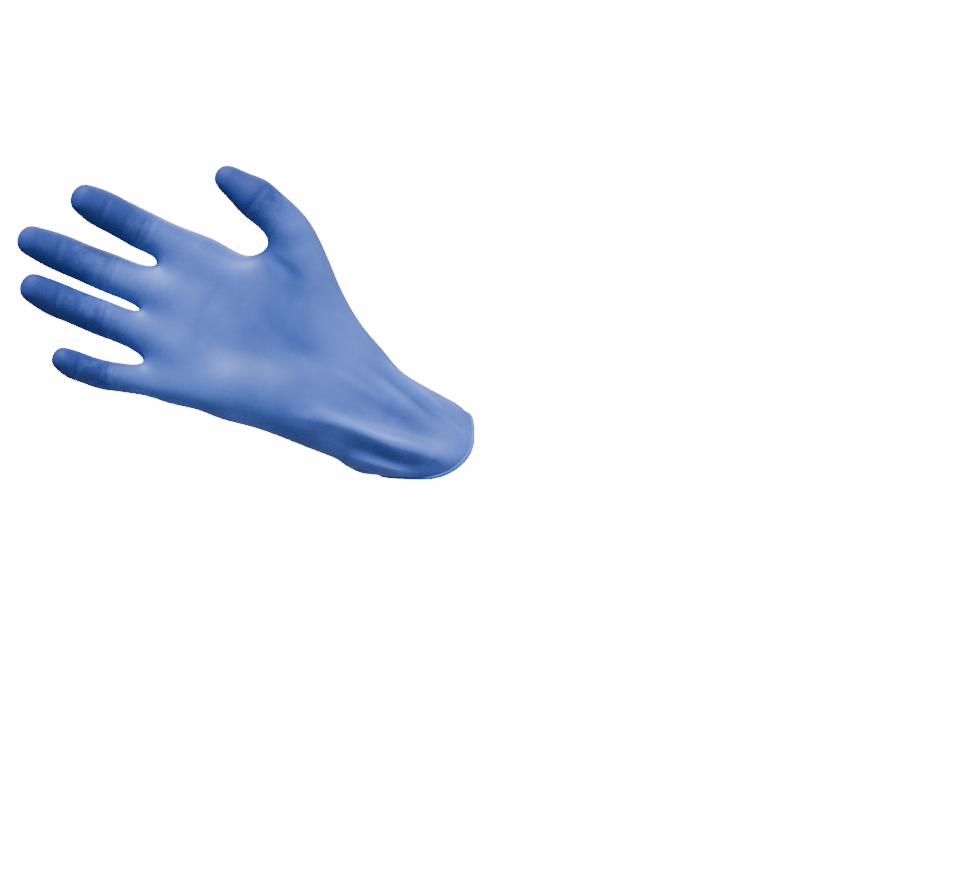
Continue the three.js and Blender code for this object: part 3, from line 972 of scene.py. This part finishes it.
@dataclass
class CuffBead:
    """The rolled bead round the cuff's edge, made by Geometry Nodes along the edge's path."""

    radius: float = 1.05 * MM
    unevenness: float = 0.12
    lump_scale: float = 180.0
    places: int = 260
    sides: int = 10
    seed: float = 4.0

    @staticmethod
    def _interface(tree: bpy.types.NodeTree) -> None:
        """Gives the tree its named inputs and its output.

        Args:
            tree: The bead's tree.
        """
        face = tree.interface
        face.new_socket("Geometry", in_out="INPUT", socket_type="NodeSocketGeometry")
        for name in ("Radius", "Unevenness", "Lump Scale", "Seed"):
            face.new_socket(name, in_out="INPUT", socket_type="NodeSocketFloat")
        for name in ("Places", "Sides"):
            face.new_socket(name, in_out="INPUT", socket_type="NodeSocketInt")
        face.new_socket("Geometry", in_out="OUTPUT", socket_type="NodeSocketGeometry")

    def _tree(self, material: bpy.types.Material) -> bpy.types.NodeTree:
        """Builds the tree that sweeps the bead along its path.

        Args:
            material: The bead's finish.

        Returns:
            The tree, with named inputs for the bead's sizes.
        """
        tree = bpy.data.node_groups.new("rolled_bead", "GeometryNodeTree")
        self._interface(tree)
        builder = NodeBuilder(tree)
        source = builder.add("NodeGroupInput").outputs
        target = builder.add("NodeGroupOutput").inputs
        path = builder.add("GeometryNodeMeshToCurve")
        builder.link(source["Geometry"], path.inputs["Mesh"])
        spaced = builder.add("GeometryNodeResampleCurve")
        builder.link(path.outputs[0], spaced.inputs["Curve"])
        builder.link(source["Places"], spaced.inputs["Count"])
        place = builder.add("GeometryNodeInputPosition")
        lumps = builder.add("ShaderNodeTexNoise", noise_dimensions="4D")
        builder.link(place.outputs[0], lumps.inputs["Vector"])
        builder.link(source["Lump Scale"], lumps.inputs["Scale"])
        builder.link(source["Seed"], lumps.inputs["W"])
        centred = builder.math("SUBTRACT", lumps.outputs["Fac"], 0.5)
        swell = builder.math("MULTIPLY", centred, source["Unevenness"])
        share = builder.math("ADD", builder.math("MULTIPLY", swell, 2.0), 1.0)
        sized = builder.add("GeometryNodeSetCurveRadius")
        builder.link(spaced.outputs[0], sized.inputs["Curve"])
        builder.link(share, sized.inputs["Radius"])
        ring = builder.add("GeometryNodeCurvePrimitiveCircle")
        builder.link(source["Sides"], ring.inputs["Resolution"])
        builder.link(source["Radius"], ring.inputs["Radius"])
        swept = builder.add("GeometryNodeCurveToMesh")
        builder.link(sized.outputs[0], swept.inputs["Curve"])
        builder.link(ring.outputs[0], swept.inputs["Profile Curve"])
        smooth = builder.add("GeometryNodeSetShadeSmooth")
        builder.link(swept.outputs[0], smooth.inputs["Geometry"])
        real = builder.add("GeometryNodeRealizeInstances")
        builder.link(smooth.outputs[0], real.inputs[0])
        finish = builder.add("GeometryNodeSetMaterial")
        finish.inputs["Material"].default_value = material
        builder.link(real.outputs[0], finish.inputs["Geometry"])
        builder.link(finish.outputs[0], target["Geometry"])
        return tree

    def build(self, rim: np.ndarray, material: bpy.types.Material) -> bpy.types.Object:
        """Builds the bead.

        Args:
            rim: The film's edge, one place a row.
            material: The bead's finish.

        Returns:
            The bead as a plain closed mesh.
        """
        mesh = bpy.data.meshes.new("cuff_bead")
        count = len(rim)
        mesh.from_pydata([tuple(p) for p in rim], [(i, (i + 1) % count) for i in range(count)], [])
        bead = bpy.data.objects.new("cuff_bead", mesh)
        bpy.context.scene.collection.objects.link(bead)
        tree = self._tree(material)
        modifier = bead.modifiers.new("rolled_bead", "NODES")
        modifier.node_group = tree
        values = {
            "Radius": self.radius,
            "Unevenness": self.unevenness,
            "Lump Scale": self.lump_scale,
            "Seed": self.seed,
            "Places": self.places,
            "Sides": self.sides,
        }
        for item in tree.interface.items_tree:
            if item.in_out == "INPUT" and item.name in values:
                modifier[item.identifier] = values[item.name]
        apply_modifiers(bead)
        net = bmesh.new()
        net.from_mesh(bead.data)
        bmesh.ops.recalc_face_normals(net, faces=net.faces)
        net.to_mesh(bead.data)
        net.free()
        shade_smooth(bead)
        return bead


@dataclass(frozen=True)
class Lamp:
    """A soft square lamp: its place and its side in metres, and its power in watts."""

    name: str
    place: tuple[float, float, float]
    power: float
    size: float


@dataclass
class Studio:
    """A wide pale floor far below, soft lamps, white surroundings and the camera.

    Ambient is the light that the surroundings give, and whiteness is how bright they and the floor
    are to the camera alone. Right and up are the picture's own ways.
    """

    lamps: tuple[Lamp, ...] = (
        Lamp("key", (0.85, -0.7, 0.95), 50.0, 0.45),
        Lamp("fill", (-0.3, -1.4, -0.1), 2.0, 0.9),
        Lamp("behind", (0.9, 0.9, 0.4), 12.0, 0.8),
    )
    lit_place: tuple[float, float, float] = (0.0, 0.0, 0.06)
    ambient: float = 0.2
    whiteness: float = 15.0
    floor_level: float = -0.55
    floor_radius: float = 14.0
    floor_sides: int = 96
    floor_roughness: float = 0.9
    floor_speck: float = 3.0
    floor_tones: tuple[tuple[float, ...], tuple[float, ...]] = ((0.90, 0.90, 0.91, 1), (0.93, 0.93, 0.94, 1))
    distance: float = 1.367
    aim: tuple[float, float] = (0.0133, -0.0705)
    right: tuple[float, float, float] = (0.438, 0.0, -0.899)
    up: tuple[float, float, float] = (0.899, 0.0, 0.438)
    lens: float = 100.0
    sensor: float = 36.0
    view_depth: float = 50.0

    def floor(self) -> bpy.types.Object:
        """Builds the floor as one wide disc that is as bright to the camera as the surroundings are.

        Returns:
            The floor.
        """
        points = [(0.0, 0.0, self.floor_level)]
        faces: list[tuple[int, ...]] = []
        for i in range(self.floor_sides):
            turn = 2 * math.pi * i / self.floor_sides
            across = self.floor_radius * math.cos(turn)
            back = self.floor_radius * math.sin(turn)
            points.append((across, back, self.floor_level))
            faces.append((0, 1 + i, 1 + (i + 1) % self.floor_sides))
        made = mesh_object("studio_floor", np.array(points), faces)
        made.data.materials.append(self._floor_finish())
        return made

    def _floor_finish(self) -> bpy.types.Material:
        """Builds the floor's pale finish.

        Returns:
            The finish.
        """
        material = bpy.data.materials.new("studio_white")
        material.use_nodes = True
        builder = NodeBuilder(material.node_tree)
        place = builder.add("ShaderNodeTexCoord")
        speck = builder.noise(place.outputs["Object"], self.floor_speck)
        path = builder.add("ShaderNodeLightPath")
        glow = builder.math("MULTIPLY", path.outputs["Is Camera Ray"], self.whiteness)
        shader = builder.add("ShaderNodeBsdfPrincipled")
        shader.inputs["Roughness"].default_value = self.floor_roughness
        shader.inputs["Emission Color"].default_value = (1, 1, 1, 1)
        builder.link(builder.mix(speck, *self.floor_tones), shader.inputs["Base Color"])
        builder.link(glow, shader.inputs["Emission Strength"])
        target = builder.add("ShaderNodeOutputMaterial")
        builder.link(shader.outputs[0], target.inputs["Surface"])
        return material

    def lights(self) -> None:
        """Places the lamps and the white surroundings."""
        for lamp in self.lamps:
            data = bpy.data.lights.new(lamp.name, "AREA")
            data.energy = lamp.power
            data.size = lamp.size
            made = bpy.data.objects.new(lamp.name, data)
            made.location = lamp.place
            aim = Vector(self.lit_place) - Vector(lamp.place)
            made.rotation_euler = aim.to_track_quat("-Z", "Y").to_euler()
            bpy.context.scene.collection.objects.link(made)
        world = bpy.data.worlds.new("studio_light")
        world.use_nodes = True
        builder = NodeBuilder(world.node_tree)
        path = builder.add("ShaderNodeLightPath")
        extra = builder.math("MULTIPLY", path.outputs["Is Camera Ray"], self.whiteness)
        back = builder.add("ShaderNodeBackground")
        back.inputs["Color"].default_value = (1, 1, 1, 1)
        builder.link(builder.math("ADD", extra, self.ambient), back.inputs["Strength"])
        target = builder.add("ShaderNodeOutputWorld")
        builder.link(back.outputs[0], target.inputs["Surface"])
        bpy.context.scene.world = world

    def camera(self) -> None:
        """Places the camera at the photograph's viewing angle."""
        data = bpy.data.cameras.new("camera")
        data.lens = self.lens
        data.sensor_width = self.sensor
        data.clip_end = self.view_depth
        made = bpy.data.objects.new("camera", data)
        right = Vector(self.right).normalized()
        up = Vector(self.up).normalized()
        back = right.cross(up)
        turn = [[right[i], up[i], back[i]] for i in range(3)]
        made.rotation_euler = Matrix(turn).to_euler()
        made.location = (self.aim[0], -self.distance, self.aim[1])
        bpy.context.scene.collection.objects.link(made)
        bpy.context.scene.camera = made


def main() -> None:
    """Builds the glove and its studio."""
    logging.basicConfig(level=logging.INFO, format="%(message)s")
    nitrile = NitrileFinish().build("nitrile_film", FilmEffects())
    film_maker = GloveFilm()
    film = film_maker.build(nitrile)
    bead = CuffBead().build(film_maker.rim, nitrile)
    for piece in (film, bead):
        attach(piece, BODY)
        log.info("%s: %d faces", piece.name, len(piece.data.polygons))
    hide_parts(NODE)
    studio = Studio()
    studio.floor()
    studio.lights()
    studio.camera()


if __name__ == "__main__":
    main()
